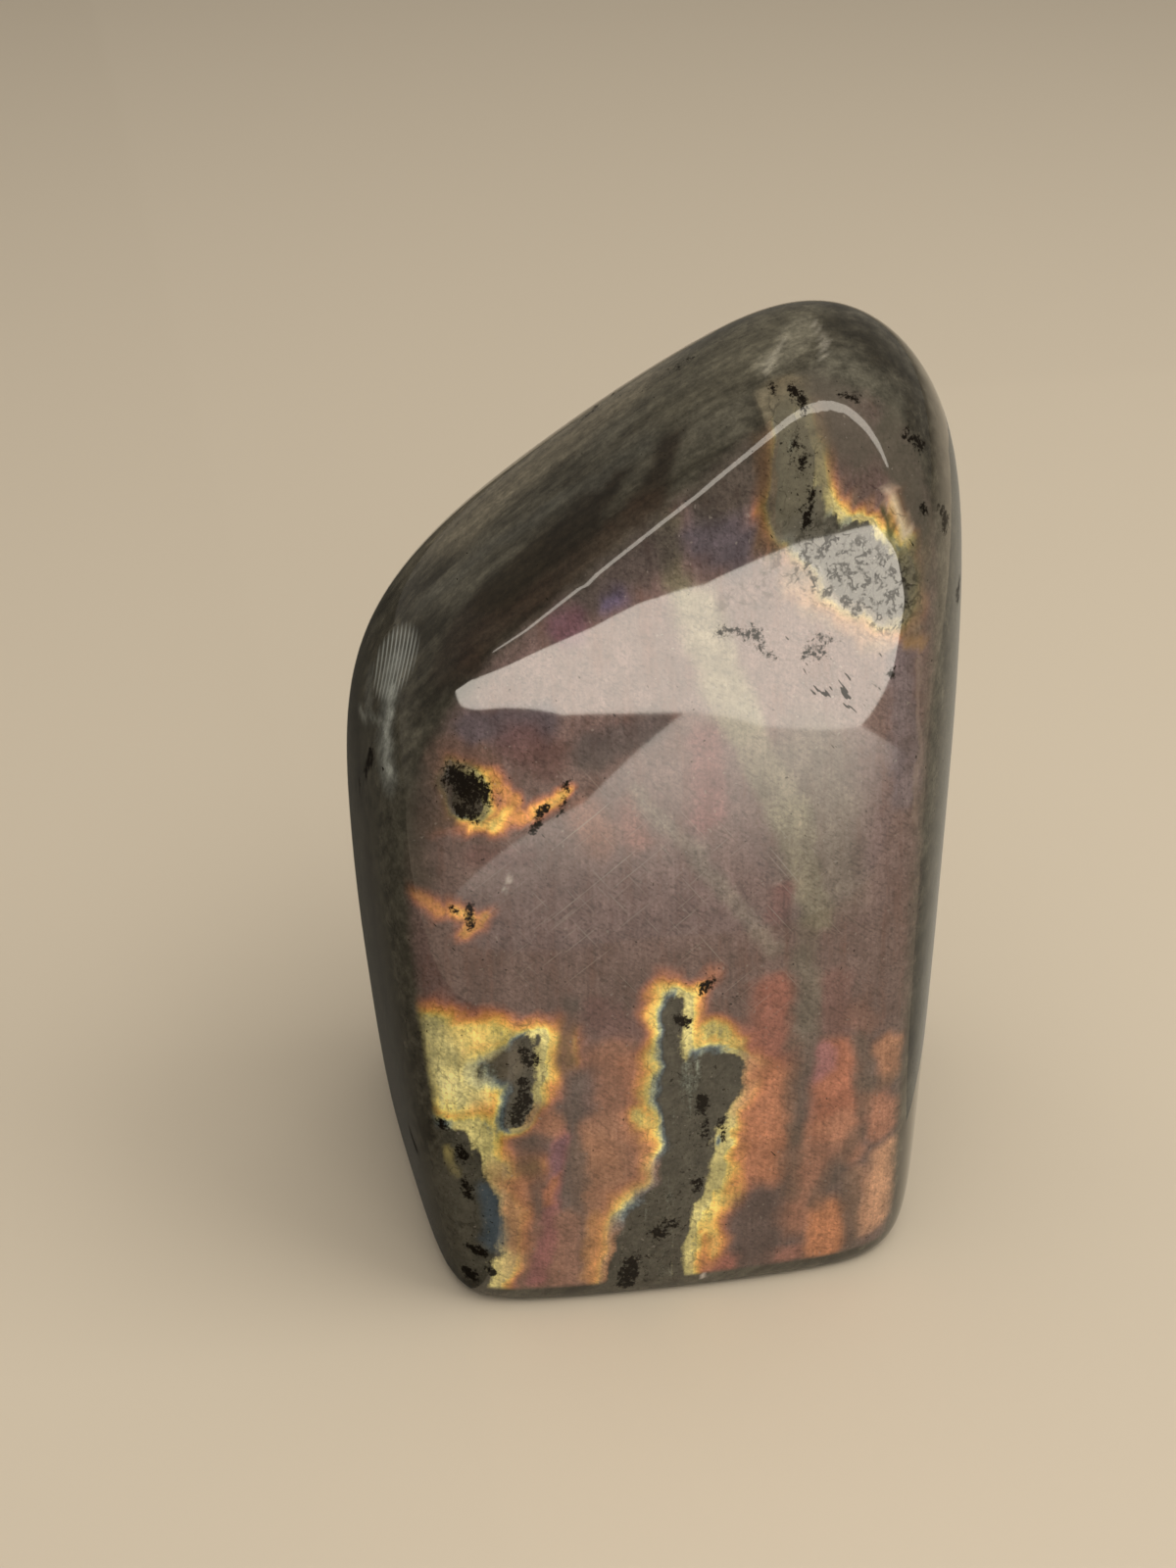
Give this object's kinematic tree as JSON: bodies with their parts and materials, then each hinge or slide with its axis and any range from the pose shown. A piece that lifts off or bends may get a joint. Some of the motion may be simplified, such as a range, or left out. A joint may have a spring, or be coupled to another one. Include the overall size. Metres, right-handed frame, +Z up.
{
  "type": "labradorite freeform",
  "caption": "Polished labradorite freeform: a tapering block of grey feldspar with a domed, back-leaning show face, a sloped top and a flat sawn base to stand on.",
  "frame": {"origin": "on the flat base, under the middle of the stone's bounding box", "axes": "+Z up from the base, -Y the way the show face looks, +X to the right of someone who faces it, towards the peak"},
  "size_m": [0.0536, 0.042, 0.0789],
  "materials": {
    "polished_labradorite": "high polish, grey-green body with an orange, yellow and violet flash on the show face"
  },
  "bodies": {
    "root": {"stone": "polished_labradorite"}
  },
  "joints": []
}
